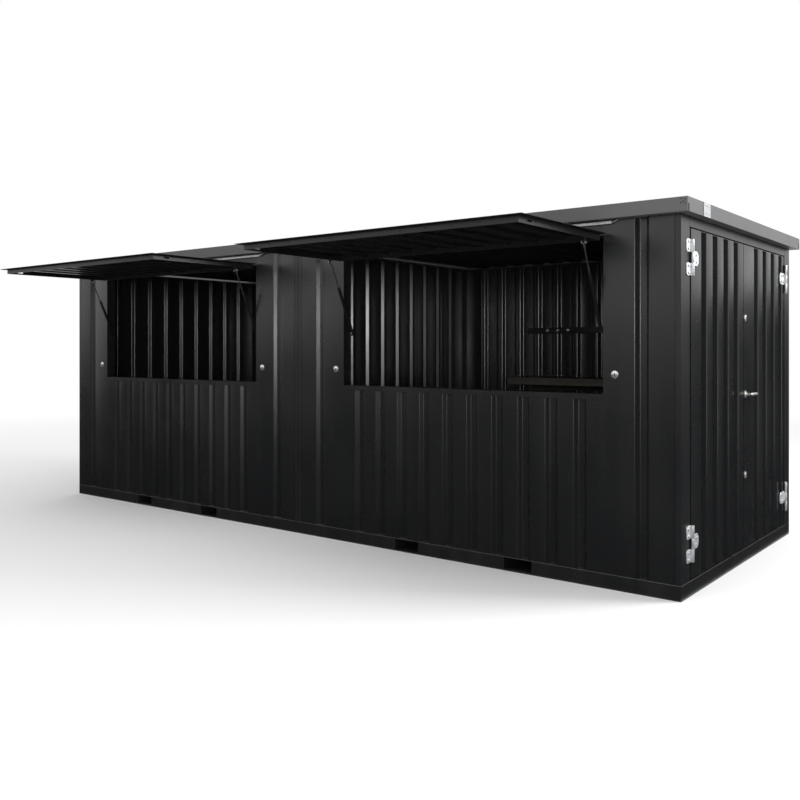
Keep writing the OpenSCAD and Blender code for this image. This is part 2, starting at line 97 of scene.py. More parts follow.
def add_math(tree, operation, first, second):
    node = tree.nodes.new("ShaderNodeMath")
    node.operation = operation
    for socket, value in zip(node.inputs, (first, second)):
        if isinstance(value, (int, float)):
            socket.default_value = value
        else:
            tree.links.new(value, socket)
    return node.outputs[0]


def add_mix(tree, factor, first, second):
    node = tree.nodes.new("ShaderNodeMix")
    node.data_type = "RGBA"
    for name, value in (("Factor", factor), ("A", first), ("B", second)):
        if isinstance(value, (int, float, tuple)):
            node.inputs[name].default_value = value
        else:
            tree.links.new(value, node.inputs[name])
    return node.outputs["Result"]


def seen_directly(tree):
    path = tree.nodes.new("ShaderNodeLightPath")
    seen = add_math(tree, "MAXIMUM", path.outputs["Is Camera Ray"], path.outputs["Is Glossy Ray"])
    return add_math(tree, "MAXIMUM", seen, path.outputs["Is Transmission Ray"])


floor_paint, nodes, links = plain_material("studio_floor")
floor_tree = floor_paint.node_tree
floor_shader = nodes["Principled BSDF"]
floor_shader.inputs["Base Color"].default_value = (0.93, 0.93, 0.93, 1)
floor_shader.inputs["Roughness"].default_value = 0.9
floor_shader.inputs["Specular IOR Level"].default_value = 0.0
fade_start, fade_end = 4.5, 13.0
reach = nodes.new("ShaderNodeVectorMath")
reach.operation = "LENGTH"
links.new(nodes.new("ShaderNodeTexCoord").outputs["Object"], reach.inputs[0])
fade = add_range(floor_tree, reach.outputs["Value"], fade_start, fade_end, 0.0, 1.0)
white = nodes.new("ShaderNodeEmission")
blend = nodes.new("ShaderNodeMixShader")
links.new(add_math(floor_tree, "MULTIPLY", fade, seen_directly(floor_tree)), blend.inputs["Fac"])
links.new(floor_shader.outputs["BSDF"], blend.inputs[1])
links.new(white.outputs["Emission"], blend.inputs[2])
links.new(blend.outputs["Shader"], nodes["Material Output"].inputs["Surface"])
floor_size = 120
stage_sheet("studio_floor", floor_size, floor_size, Matrix(), floor_paint)

card_black, nodes, links = plain_material("card_black")
nodes["Principled BSDF"].inputs["Base Color"].default_value = (0.0, 0.0, 0.0, 1)
nodes["Principled BSDF"].inputs["Specular IOR Level"].default_value = 0.0


def black_card(name, width, height, place):
    card = stage_sheet(name, width, height, place, card_black)
    card.visible_camera = False
    card.visible_diffuse = False
    card.visible_shadow = False
    card.visible_transmission = False


def upright(centre, degrees):
    place = Matrix.Translation(centre) @ Matrix.Rotation(math.radians(degrees), 4, "Z")
    return place @ Matrix.Rotation(math.radians(90), 4, "X")


floor_card_z = 0.003
black_card("card_front", 44, 1.75, upright((-6.0, -12.0, 0.875), 0))
black_card("card_right", 14, 5.0, upright((9.0, -6.2, 2.5), 90))
black_card("card_back", 14, 2.5, upright((6.0, 11.0, 1.25), 0))
black_card("card_floor", 34, 10.9, Matrix.Translation((-8.0, -6.56, floor_card_z)))
black_card("card_floor_end", 6.0, 12.3, Matrix.Translation((6.01, 5.05, floor_card_z)))

world = bpy.data.worlds.new("studio")
scene.world = world
world.use_nodes = True
world_tree = world.node_tree
background = world_tree.nodes["Background"]
tone = add_mix(world_tree, seen_directly(world_tree), (0.80, 0.80, 0.80, 1), (1.0, 1.0, 1.0, 1))
world_tree.links.new(tone, background.inputs["Color"])
background.inputs["Strength"].default_value = 1.0


def soft_lamp(name, centre, aim, size, power):
    lamp_data = bpy.data.lights.new(name, "AREA")
    lamp_data.shape = "RECTANGLE"
    lamp_data.size, lamp_data.size_y = size
    lamp_data.energy = power
    lamp = bpy.data.objects.new(name, lamp_data)
    lamp.location = centre
    lamp.rotation_euler = (Vector(aim) - Vector(centre)).to_track_quat("-Z", "Y").to_euler()
    bpy.context.collection.objects.link(lamp)
    return lamp


soft_lamp("lamp_over", (1.5, -3.5, 7.0), (0, -0.5, 1), (7, 4), 160)
soft_lamp("lamp_side", (9.0, 4.0, 5.5), (3, 0, 2.0), (4, 3), 640)
lamp_front = soft_lamp("lamp_front", (6.3, -7.6, 1.9), (0, 0, 1.5), (2.2, 1.2), 105)
lamp_front.visible_camera = False

# ---------------------------------------------------------------------------
# Powder coat. The steel sheets are coated before they are folded: a satin film
# with a fine orange peel, sheets that ripple slightly, and dust on them.
# ---------------------------------------------------------------------------
def new_group(name, inputs, outputs):
    group = bpy.data.node_groups.new(name, "ShaderNodeTree")
    for title, kind, value in inputs:
        socket = group.interface.new_socket(title, in_out="INPUT", socket_type=kind)
        socket.default_value = value
    for title, kind in outputs:
        group.interface.new_socket(title, in_out="OUTPUT", socket_type=kind)
    return group, group.nodes.new("NodeGroupInput"), group.nodes.new("NodeGroupOutput")


def add_noise(tree, vector, scale, detail=2.0, stretch=None):
    if stretch:
        mapping = tree.nodes.new("ShaderNodeMapping")
        mapping.inputs["Scale"].default_value = stretch
        tree.links.new(vector, mapping.inputs["Vector"])
        vector = mapping.outputs["Vector"]
    noise = tree.nodes.new("ShaderNodeTexNoise")
    noise.inputs["Scale"].default_value = scale
    noise.inputs["Detail"].default_value = detail
    tree.links.new(vector, noise.inputs["Vector"])
    return noise.outputs["Fac"]


COAT, coat_in, coat_out = new_group(
    "powder_coat",
    [("Colour", "NodeSocketColor", (0.02, 0.02, 0.02, 1)),
     ("Roughness", "NodeSocketFloat", 0.35),
     ("Dust", "NodeSocketFloat", 0.3),
     ("Ripple", "NodeSocketFloat", 1.0)],
    [("Colour", "NodeSocketColor"), ("Roughness", "NodeSocketFloat"),
     ("Height", "NodeSocketFloat")])
coords = COAT.nodes.new("ShaderNodeTexCoord").outputs["Object"]
peel = add_noise(COAT, coords, 420.0, 1.0)
cloud = add_noise(COAT, coords, 1.7, 3.0)
runs = add_noise(COAT, coords, 9.0, 4.0, stretch=(1.0, 1.0, 0.06))
specks = add_noise(COAT, coords, 60.0, 4.0)
buckle = add_noise(COAT, coords, 1.1, 1.0, stretch=(1.0, 1.0, 0.55))
dust_mask = add_math(COAT, "MULTIPLY", add_range(COAT, runs, 0.42, 0.72, 0.0, 1.0),
                     add_range(COAT, specks, 0.35, 0.7, 0.3, 1.0))
dust_mask = add_math(COAT, "MULTIPLY", dust_mask, coat_in.outputs["Dust"])
COAT.links.new(add_mix(COAT, dust_mask, coat_in.outputs["Colour"], (0.09, 0.088, 0.083, 1)),
               coat_out.inputs["Colour"])
worn = add_math(COAT, "ADD", coat_in.outputs["Roughness"],
                add_range(COAT, cloud, 0.3, 0.7, -0.04, 0.05))
COAT.links.new(add_math(COAT, "ADD", worn, add_math(COAT, "MULTIPLY", dust_mask, 0.5)),
               coat_out.inputs["Roughness"])
ripple = add_math(COAT, "MULTIPLY", buckle, coat_in.outputs["Ripple"])
peel_height, ripple_height = 0.000012, 0.007
COAT.links.new(add_math(COAT, "ADD", add_math(COAT, "MULTIPLY", peel, peel_height),
                        add_math(COAT, "MULTIPLY", ripple, ripple_height)),
               coat_out.inputs["Height"])


def grouped(name, group_tree, values, bump_strength=0.7, specular=0.5, metallic=0.0):
    material, nodes, links = plain_material(name)
    shader = nodes["Principled BSDF"]
    shader.inputs["Specular IOR Level"].default_value = specular
    shader.inputs["Metallic"].default_value = metallic
    group = nodes.new("ShaderNodeGroup")
    group.node_tree = group_tree
    for title, value in values.items():
        group.inputs[title].default_value = value
    bump = nodes.new("ShaderNodeBump")
    bump.inputs["Distance"].default_value = 1.0
    bump.inputs["Strength"].default_value = bump_strength
    links.new(group.outputs["Colour"], shader.inputs["Base Color"])
    links.new(group.outputs["Roughness"], shader.inputs["Roughness"])
    links.new(group.outputs["Height"], bump.inputs["Height"])
    links.new(bump.outputs["Normal"], shader.inputs["Normal"])
    return material


def coated(name, colour, roughness, dust, ripple, specular):
    values = {"Colour": colour, "Roughness": roughness, "Dust": dust, "Ripple": ripple}
    return grouped(name, COAT, values, bump_strength=0.6, specular=specular)


wall_coat = coated("wall_coat", (0.0095, 0.0100, 0.0108, 1), 0.27, 0.04, 1.0, specular=0.60)
frame_coat = coated("frame_coat", (0.011, 0.0115, 0.0125, 1), 0.30, 0.12, 0.15, specular=0.5)
# Roof edge coat: its lighter colour is painted light, standing in for the sky lighting the roof
# edges.
painted_lit_edge_coat = coated("painted_lit_edge_coat", (0.085, 0.086, 0.088, 1), 0.38, 0.15, 0.4, specular=0.5)
inner_coat = coated("inner_coat", (0.016, 0.0165, 0.0175, 1), 0.22, 0.05, 0.5, specular=1.0)


def dress(names, material):
    for name in names:
        slots = NODES[name].data.materials
        if not slots:
            slots.append(material)
        for index in range(len(slots)):
            slots[index] = material


# ---------------------------------------------------------------------------
# Grooved wall sheets. 2 mm steel folded into 28 mm deep grooves with rounded
# bends, slotted into the posts and screwed to the base and the roof edge.
# ---------------------------------------------------------------------------
GROOVE = dict(width=0.086, floor=0.042, depth=0.028, pitch=0.195, bend=0.006)
SHEET = 0.002


def groove_row(length, count):
    return [length / 2 + (i - (count - 1) / 2) * GROOVE["pitch"] for i in range(count)]


def full_row(length):
    return groove_row(length, int((length - 0.09) / GROOVE["pitch"]))


def add_grooved(bm, length, centres, height, place, depth=GROOVE["depth"]):
    outline = [(0.0, 0.0)]
    for centre in centres:
        outline += [(centre - GROOVE["width"] / 2, 0.0), (centre - GROOVE["floor"] / 2, depth),
                    (centre + GROOVE["floor"] / 2, depth), (centre + GROOVE["width"] / 2, 0.0)]
    outline.append((length, 0.0))
    part = bmesh.new()
    corners = [part.verts.new((x, y, 0)) for x, y in outline]
    rails = [part.edges.new(pair) for pair in zip(corners, corners[1:])]
    pulled = bmesh.ops.extrude_edge_only(part, edges=rails)
    top = [v for v in pulled["geom"] if isinstance(v, bmesh.types.BMVert)]
    bmesh.ops.translate(part, vec=(0, 0, height), verts=top)
    folds = [e for e in part.edges if len(e.link_faces) == 2]
    bmesh.ops.bevel(part, geom=folds, offset=GROOVE["bend"], segments=3, profile=0.5,
                    affect="EDGES", material=-1)
    bmesh.ops.recalc_face_normals(part, faces=part.faces)
    facing = sum(f.normal.y * f.calc_area() for f in part.faces)
    if facing > 0:
        bmesh.ops.reverse_faces(part, faces=part.faces)
    bmesh.ops.solidify(part, geom=part.faces[:], thickness=SHEET)
    bmesh.ops.recalc_face_normals(part, faces=part.faces)
    bmesh.ops.transform(part, matrix=place, verts=part.verts)
    bmesh.ops.recalc_face_normals(part, faces=part.faces)
    gather(bm, part)


def gather(bm, part):
    mesh = bpy.data.meshes.new("part")
    part.to_mesh(mesh)
    part.free()
    bm.from_mesh(mesh)
    bpy.data.meshes.remove(mesh)


def cube_between(corner, opposite):
    part = bmesh.new()
    bmesh.ops.create_cube(part, size=1.0)
    low = Vector([min(pair) for pair in zip(corner, opposite)])
    high = Vector([max(pair) for pair in zip(corner, opposite)])
    bmesh.ops.scale(part, vec=high - low, verts=part.verts)
    bmesh.ops.translate(part, vec=(low + high) / 2, verts=part.verts)
    return part


def add_block(bm, corner, opposite, bevel=0.0008, segments=1):
    part = cube_between(corner, opposite)
    if bevel:
        bmesh.ops.bevel(part, geom=part.edges[:], offset=bevel, segments=segments, profile=0.5,
                        affect="EDGES", material=-1)
    gather(bm, part)


def add_round(bm, centre, axis, radius, length, segments=24, bevel=0.0, radius_top=None):
    part = bmesh.new()
    bmesh.ops.create_cone(part, cap_ends=True, segments=segments, radius1=radius,
                          radius2=radius if radius_top is None else radius_top, depth=length)
    if bevel:
        rims = [e for e in part.edges if abs(e.verts[0].co.z - e.verts[1].co.z) < 1e-6]
        bmesh.ops.bevel(part, geom=rims, offset=bevel, segments=2, profile=0.5,
                        affect="EDGES", material=-1)
    turn = Vector((0, 0, 1)).rotation_difference(Vector(axis)).to_matrix().to_4x4()
    middle = Vector(centre) + Vector(axis).normalized() * length / 2
    bmesh.ops.transform(part, matrix=Matrix.Translation(middle) @ turn, verts=part.verts)
    gather(bm, part)


def finish_piece(bm, name, material, body, replaces=(), smooth=True):
    mesh = bpy.data.meshes.new(name)
    bm.to_mesh(mesh)
    bm.free()
    mesh.materials.append(material)
    piece = bpy.data.objects.new(name, mesh)
    bpy.context.collection.objects.link(piece)
    if smooth:
        mesh.shade_smooth()
        mesh.set_sharp_from_angle(angle=math.radians(35))
    if replaces:
        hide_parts(*replaces)
    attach(piece, body)
    return piece


def turned(x, y, z, degrees):
    return Matrix.Translation((x, y, z)) @ Matrix.Rotation(math.radians(degrees), 4, "Z")


hatch_low, hatch_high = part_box("hatch_sheet_right")
module_centre = (hatch_low.x + hatch_high.x) / 2
front_low, front_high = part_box("front_panels")
flank_low, flank_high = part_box("front_flanks")
wall_low_z, wall_top_z = flank_low.z, flank_high.z
wall_height = wall_top_z - wall_low_z
panel_length = 2 * (front_high.x - module_centre)
sill_rail = 0.033
panel_top = front_high.z - sill_rail
panel_grooves = 10

bm = bmesh.new()
for side in (-1, 1):
    left = side * module_centre - panel_length / 2
    add_grooved(bm, panel_length, groove_row(panel_length, panel_grooves),
                panel_top - wall_low_z, turned(left, front_low.y, wall_low_z, 0))
    add_block(bm, (left, front_low.y, panel_top),
              (left + panel_length, front_low.y + SHEET, front_high.z))
    add_block(bm, (left, front_low.y + SHEET, panel_top),
              (left + panel_length, front_high.y, panel_top + SHEET))
finish_piece(bm, "front_panel_sheets", wall_coat, "building", ["front_panels"])

post_low, post_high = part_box("corner_posts")
post_face = post_high.x - post_low.x
flank_groove = 0.228
joint_half = 0.002
panel_joint = 0.0025
bm = bmesh.new()
for side in (-1, 1):
    outer_edge = flank_high.x if side > 0 else -flank_low.x
    module_half = (outer_edge + post_face - joint_half) / 2
    length = module_half - panel_length / 2 - post_face - panel_joint
    groove = length + post_face - flank_groove
    for way in (side, -side):
        if way > 0:
            start, centres = side * module_centre + panel_length / 2, [groove]
        else:
            start, centres = side * module_centre - panel_length / 2 - length, [length - groove]
        add_grooved(bm, length, centres, wall_height, turned(start, flank_low.y, wall_low_z, 0))
finish_piece(bm, "front_flank_sheets", wall_coat, "building", ["front_flanks"])

back_low, back_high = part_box("back_walls")
back_length = (flank_high.x + post_face - joint_half) - 2 * post_face
bm = bmesh.new()
for side in (-1, 1):
    add_grooved(bm, back_length, full_row(back_length), wall_height,
                turned(side * module_centre + back_length / 2, back_high.y, wall_low_z, 180))
finish_piece(bm, "back_wall_sheets", inner_coat, "building", ["back_walls"])

for node, title in (("left_end_wall", "left_end_sheets"), ("cross_wall", "cross_wall_sheets")):
    low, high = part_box(node)
    bm = bmesh.new()
    add_grooved(bm, high.y - low.y, full_row(high.y - low.y), wall_height,
                turned(low.x, high.y, wall_low_z, -90))
    finish_piece(bm, title, inner_coat, "building", [node])

# ---------------------------------------------------------------------------
# Posts, headers and hatch frames. Folded 3 mm steel, bolted at the corners and
# coated like the walls.
# ---------------------------------------------------------------------------
dress(["corner_posts", "joint_posts", "door_posts", "door_header", "hatch_headers",
       "hatch_frames"], frame_coat)

# ---------------------------------------------------------------------------
# Module joint seals. Black rubber profiles pressed between the joint posts at
# the front and the back, so that no light shows through the joint.
# ---------------------------------------------------------------------------
rubber = coated("seal_rubber", (0.006, 0.006, 0.006, 1), 0.75, 0.15, 0.0, specular=0.3)
seal_outside, seal_inside = front_low.y + 0.010, front_low.y + 0.026
bm = bmesh.new()
for face in (-1, 1):
    add_block(bm, (-joint_half, face * seal_outside, wall_low_z),
              (joint_half, face * seal_inside, wall_top_z), bevel=0.0006)
finish_piece(bm, "module_joint_seals", rubber, "building")

# ---------------------------------------------------------------------------
# Base. Welded channels with fork pockets, coated like the posts, with a painted
# highlight strip along their top edge where light catches the ledge, and film-faced
# plywood boards laid inside.
# ---------------------------------------------------------------------------
dress(["base_frame_left", "base_frame_right", "base_joint_rail"], frame_coat)

# A lighter strip along the top edge of the base: painted highlight of the ledge that light catches,
# with the coat's dust on it.
painted_highlight_edge = coated("painted_highlight_edge", (0.075, 0.076, 0.078, 1), 0.45, 1.0, 0.0, specular=0.5)
base_low, base_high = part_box("base_frame_right")
lip_low, lip_top = base_high.z - 0.0030, base_high.z - 0.0002
lip_out = 0.0007
bm = bmesh.new()
for face in (-1, 1):
    add_block(bm, (-base_high.x, face * base_high.y, lip_low),
              (base_high.x, face * (base_high.y + lip_out), lip_top), bevel=0.0002)
    add_block(bm, (face * base_high.x, -base_high.y, lip_low),
              (face * (base_high.x + lip_out), base_high.y, lip_top), bevel=0.0002)
finish_piece(bm, "base_edge_highlight_strips", painted_highlight_edge, "building")

PLY, ply_in, ply_out = new_group(
    "film_faced_ply", [("Colour", "NodeSocketColor", (0.05, 0.04, 0.03, 1))],
    [("Colour", "NodeSocketColor"), ("Roughness", "NodeSocketFloat"),
     ("Height", "NodeSocketFloat")])
coords = PLY.nodes.new("ShaderNodeTexCoord").outputs["Object"]
grain = add_noise(PLY, coords, 7.0, 6.0, stretch=(0.12, 1.6, 1.0))
scuffs = add_noise(PLY, coords, 24.0, 4.0)
PLY.links.new(add_mix(PLY, add_range(PLY, grain, 0.35, 0.65, 0.0, 1.0),
                      ply_in.outputs["Colour"], (0.10, 0.085, 0.066, 1)),
              ply_out.inputs["Colour"])
PLY.links.new(add_range(PLY, scuffs, 0.3, 0.7, 0.42, 0.72), ply_out.inputs["Roughness"])
PLY.links.new(add_math(PLY, "MULTIPLY", grain, 0.0006), ply_out.inputs["Height"])

floor_board = grouped("floor_board", PLY, {"Colour": (0.055, 0.044, 0.034, 1)})
shelf_board = grouped("shelf_board", PLY, {"Colour": (0.016, 0.016, 0.017, 1)})
dress(["floor_panels"], floor_board)

# ---------------------------------------------------------------------------
# Roof. Folded edge channels, mitred and riveted at the corners, with grooved
# roof sheets lying in them and a cap pressed over the module joint.
# ---------------------------------------------------------------------------
def laid(x, y, z):
    return Matrix(((1, 0, 0, x), (0, 0, -1, y), (0, -1, 0, z), (0, 0, 0, 1)))


edge_low, edge_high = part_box("roof_edges")
sheet_low, sheet_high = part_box("roof_sheets")
roof_length = 2 * (sheet_high.x - module_centre)
roof_rib = 0.020
bm = bmesh.new()
for side in (-1, 1):
    add_grooved(bm, roof_length, full_row(roof_length), sheet_high.y - sheet_low.y,
                laid(side * module_centre - roof_length / 2, sheet_high.y, sheet_high.z),
                depth=roof_rib)
finish_piece(bm, "roof_sheet_panels", inner_coat, "building", ["roof_sheets"])
# The roof edges and joint cap take the lighter coat: painted light for the sky lit edges.
dress(["roof_edges", "roof_joint_cap"], painted_lit_edge_coat)

# Near-black coat for small holes, slots, notches and seams: painted shade of these recesses.
joint_shadow = coated("joint_shadow", (0.002, 0.002, 0.002, 1), 0.7, 0.0, 0.0, specular=0.05)
# Near-black discs at the roof corners: painted shade of the rivet holes.
bm = bmesh.new()
for end in (-1, 1):
    for face in (-1, 1):
        for across, up in ((0.014, 0.016), (0.036, 0.012), (0.025, 0.027), (0.014, 0.038),
                           (0.038, 0.034)):
            add_round(bm, (end * (edge_high.x - across), face * edge_high.y, edge_high.z - up),
                      (0, face, 0), 0.0034, 0.0012, segments=12, bevel=0.0004)
finish_piece(bm, "roof_corner_rivets", joint_shadow, "building")
# Near-black plates for the notches in the roof edge and the seam beside the splice plate: painted
# shade of these gaps.
bm = bmesh.new()
notch_near, notch_far = edge_high.y - 0.010, edge_high.y - 0.024
for end in (-1, 1):
    for face in (-1, 1):
        add_block(bm, (end * edge_high.x - 0.0006, face * notch_near, edge_low.z + 0.002),
                  (end * edge_high.x + 0.0006, face * notch_far, edge_low.z + 0.044), bevel=0.0002)
splice_low, splice_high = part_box("splice_plate")
add_block(bm, (edge_high.x - 0.0004, splice_low.y - 0.004, edge_low.z),
          (edge_high.x + 0.0004, splice_low.y - 0.0015, edge_high.z), bevel=0.0)
finish_piece(bm, "roof_edge_notches", joint_shadow, "building")

METAL, metal_in, metal_out = new_group(
    "plated_metal",
    [("Colour", "NodeSocketColor", (0.7, 0.7, 0.7, 1)),
     ("Tarnish", "NodeSocketColor", (0.5, 0.5, 0.5, 1)),
     ("Roughness", "NodeSocketFloat", 0.35), ("Spangle", "NodeSocketFloat", 1.0)],
    [("Colour", "NodeSocketColor"), ("Roughness", "NodeSocketFloat"),
     ("Height", "NodeSocketFloat")])
coords = METAL.nodes.new("ShaderNodeTexCoord").outputs["Object"]
flakes = METAL.nodes.new("ShaderNodeTexVoronoi")
flakes.inputs["Scale"].default_value = 160.0
METAL.links.new(coords, flakes.inputs["Vector"])
patches = add_noise(METAL, coords, 45.0, 3.0)
scratches = add_noise(METAL, coords, 300.0, 2.0, stretch=(1.0, 1.0, 0.08))
flake_tone = METAL.nodes.new("ShaderNodeSeparateColor")
METAL.links.new(flakes.outputs["Color"], flake_tone.inputs["Color"])
mottle = add_math(METAL, "MULTIPLY", add_math(METAL, "MULTIPLY", flake_tone.outputs["Red"],
                                              metal_in.outputs["Spangle"]), 0.5)
METAL.links.new(add_mix(METAL, add_math(METAL, "ADD", mottle,
                                        add_range(METAL, patches, 0.45, 0.75, 0.0, 0.5)),
                        metal_in.outputs["Colour"], metal_in.outputs["Tarnish"]),
                metal_out.inputs["Colour"])
METAL.links.new(add_math(METAL, "ADD", metal_in.outputs["Roughness"],
                         add_math(METAL, "MULTIPLY", mottle, 0.3)),
                metal_out.inputs["Roughness"])
METAL.links.new(add_math(METAL, "MULTIPLY", scratches, 0.00006), metal_out.inputs["Height"])


def plated(name, colour, tarnish, roughness, spangle):
    values = {"Colour": colour, "Tarnish": tarnish, "Roughness": roughness, "Spangle": spangle}
    return grouped(name, METAL, values, metallic=0.85)


zinc = plated("zinc", (0.86, 0.87, 0.88, 1), (0.62, 0.64, 0.66, 1), 0.42, 1.0)
nickel = plated("nickel", (0.83, 0.81, 0.77, 1), (0.62, 0.60, 0.56, 1), 0.24, 0.1)
dull_zinc = plated("dull_zinc", (0.50, 0.51, 0.52, 1), (0.40, 0.41, 0.42, 1), 0.62, 0.8)
dress(["splice_plate"], dull_zinc)
bm = bmesh.new()
for across in (0.022, 0.055, 0.088):
    for up in (0.018, 0.062):
        add_round(bm, (splice_high.x - 0.0006, splice_low.y + across, splice_low.z + up), (1, 0, 0),
                  0.0042, 0.0024, segments=12, bevel=0.0008)
finish_piece(bm, "splice_plate_rivets", dull_zinc, "building")

# ---------------------------------------------------------------------------
# Hatch drip strips. A galvanised drip strip is screwed over each hatch under
# the roof edge, with its right end bent up as a tab.
# ---------------------------------------------------------------------------
strip_half = (hatch_high.x - hatch_low.x) / 2 + 0.015
strip_z = edge_low.z - 0.026
tab_half = Vector((0.026, 0.0095, 0.0008))
strip_rivets, strip_margin = 8, 0.08
bm = bmesh.new()
for side in (-1, 1):
    middle = side * module_centre
    add_block(bm, (middle - strip_half, front_low.y - 0.020, strip_z),
              (middle + strip_half, front_low.y - 0.0004, strip_z + 0.0016), bevel=0.0004)
    add_block(bm, (middle - strip_half, front_low.y - 0.002, strip_z),
              (middle + strip_half, front_low.y - 0.0004, strip_z + 0.018), bevel=0.0004)
    tab = cube_between(-tab_half, tab_half)
    bmesh.ops.bevel(tab, geom=tab.edges[:], offset=0.0004, segments=1, profile=0.5,
                    affect="EDGES", material=-1)
    lean = Matrix.Rotation(math.radians(-22), 4, "Y")
    lift = Matrix.Translation((middle + strip_half + 0.022, front_low.y - 0.0105, strip_z + 0.0108))
    bmesh.ops.transform(tab, matrix=lift @ lean, verts=tab.verts)
    gather(bm, tab)
    for step in range(strip_rivets):
        place = (middle - strip_half + strip_margin
                 + step * 2 * (strip_half - strip_margin) / (strip_rivets - 1))
        add_round(bm, (place, front_low.y - 0.002, strip_z + 0.011), (0, -1, 0), 0.004, 0.002,
                  segments=12, bevel=0.0006)
finish_piece(bm, "hatch_drip_strips", zinc, "building")

# ---------------------------------------------------------------------------
# Hatches. A grooved sheet with a lip on all sides over a folded rim, hung on
# three butt hinges.
# ---------------------------------------------------------------------------
hatch_coat = coated("hatch_coat", (0.0085, 0.0090, 0.0098, 1), 0.30, 0.04, 0.4, specular=0.40)
hatch_groove_depth = 0.020
hatch_grooves = 9
rib_margin, rim_lap = 0.06, 0.006
seal_out, seal_width, seal_depth = 0.020, 0.010, 0.003
front_rivets, side_rivets = 12, 5
rivet_rise, rivet_margin = 0.018, 0.06
MODULES = ("left", "right")
for module in MODULES:
    low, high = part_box("hatch_sheet_" + module)
    rim_low, rim_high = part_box("hatch_rim_" + module)
    middle = (low.x + high.x) / 2
    ribbed = (hatch_grooves - 1) * GROOVE["pitch"] + GROOVE["width"] + rib_margin
    rib_start, rib_stop = rim_high.y - rim_lap, rim_low.y + rim_lap
    top = high.z
    bm = bmesh.new()
    add_grooved(bm, ribbed, groove_row(ribbed, hatch_grooves), rib_start - rib_stop,
                laid(middle - ribbed / 2, rib_start, top), depth=hatch_groove_depth)
    add_block(bm, (low.x, low.y, top - SHEET), (high.x, rib_stop, top))
    add_block(bm, (low.x, rib_start, top - SHEET), (high.x, high.y, top))
    add_block(bm, (low.x, rib_stop, top - SHEET), (middle - ribbed / 2, rib_start, top))
    add_block(bm, (middle + ribbed / 2, rib_stop, top - SHEET), (high.x, rib_start, top))
    finish_piece(bm, "hatch_sheet_panel_" + module, hatch_coat, "hatch_" + module,
                 ["hatch_sheet_" + module])

    bm = bmesh.new()
    left, right = rim_low.x - seal_out, rim_high.x + seal_out
    front = low.y + 0.008
    behind = front + seal_width
    for x, y, x_end, y_end in ((left, front, right, behind),
                               (left, behind, left + seal_width, rim_high.y),
                               (right - seal_width, behind, right, rim_high.y)):
        add_block(bm, (x, y, top - SHEET - seal_depth), (x_end, y_end, top - SHEET), bevel=0.0012,
                  segments=2)
    finish_piece(bm, "hatch_seal_" + module, rubber, "hatch_" + module)

    bm = bmesh.new()
    for step in range(front_rivets):
        place = (rim_low.x + rivet_margin
                 + step * (rim_high.x - rim_low.x - 2 * rivet_margin) / (front_rivets - 1))
        add_round(bm, (place, rim_low.y + 0.0005, rim_low.z + rivet_rise), (0, -1, 0), 0.0042,
                  0.0022, segments=12, bevel=0.0007)
    for step in range(side_rivets):
        place = rim_low.y + 0.17 + step * 0.155
        for edge, way in ((rim_high.x - 0.0005, 1), (rim_low.x + 0.0005, -1)):
            add_round(bm, (edge, place, rim_low.z + rivet_rise), (way, 0, 0), 0.0042, 0.0022,
                      segments=12, bevel=0.0007)
    finish_piece(bm, "hatch_rim_rivets_" + module, hatch_coat, "hatch_" + module)
    dress(["hatch_rim_" + module, "hatch_hinges_" + module], hatch_coat)
dress(["hatch_hinge_wall_leaves"], hatch_coat)

# ---------------------------------------------------------------------------
# Gas struts. Black cylinders with plated rods, on ball studs in steel brackets
# that are screwed to the hatch rims and frames and coated like them.
# ---------------------------------------------------------------------------
strut_black = coated("strut_black", (0.008, 0.008, 0.008, 1), 0.22, 0.0, 0.0, specular=0.5)
rod_steel = plated("rod_steel", (0.22, 0.22, 0.23, 1), (0.15, 0.15, 0.16, 1), 0.18, 0.0)
foot_y, foot_z = -1.045, 1.5
strut_lean = math.radians(24.17)
strut_length = 0.5568
tube_radius, tube_start, tube_length = 0.0110, 0.020, 0.350
cap_height, cylinder_length = 0.004, 0.372
neck_radius, rod_radius, eye_radius = 0.0052, 0.0040, 0.0080
foot_eye_width, foot_eye_shift, head_eye_width = 0.016, 0.003, 0.010
rod_inside, nut_height = 0.060, 0.024
ball_radius, cap_radius, stud_height = 0.0085, 0.0095, 0.006
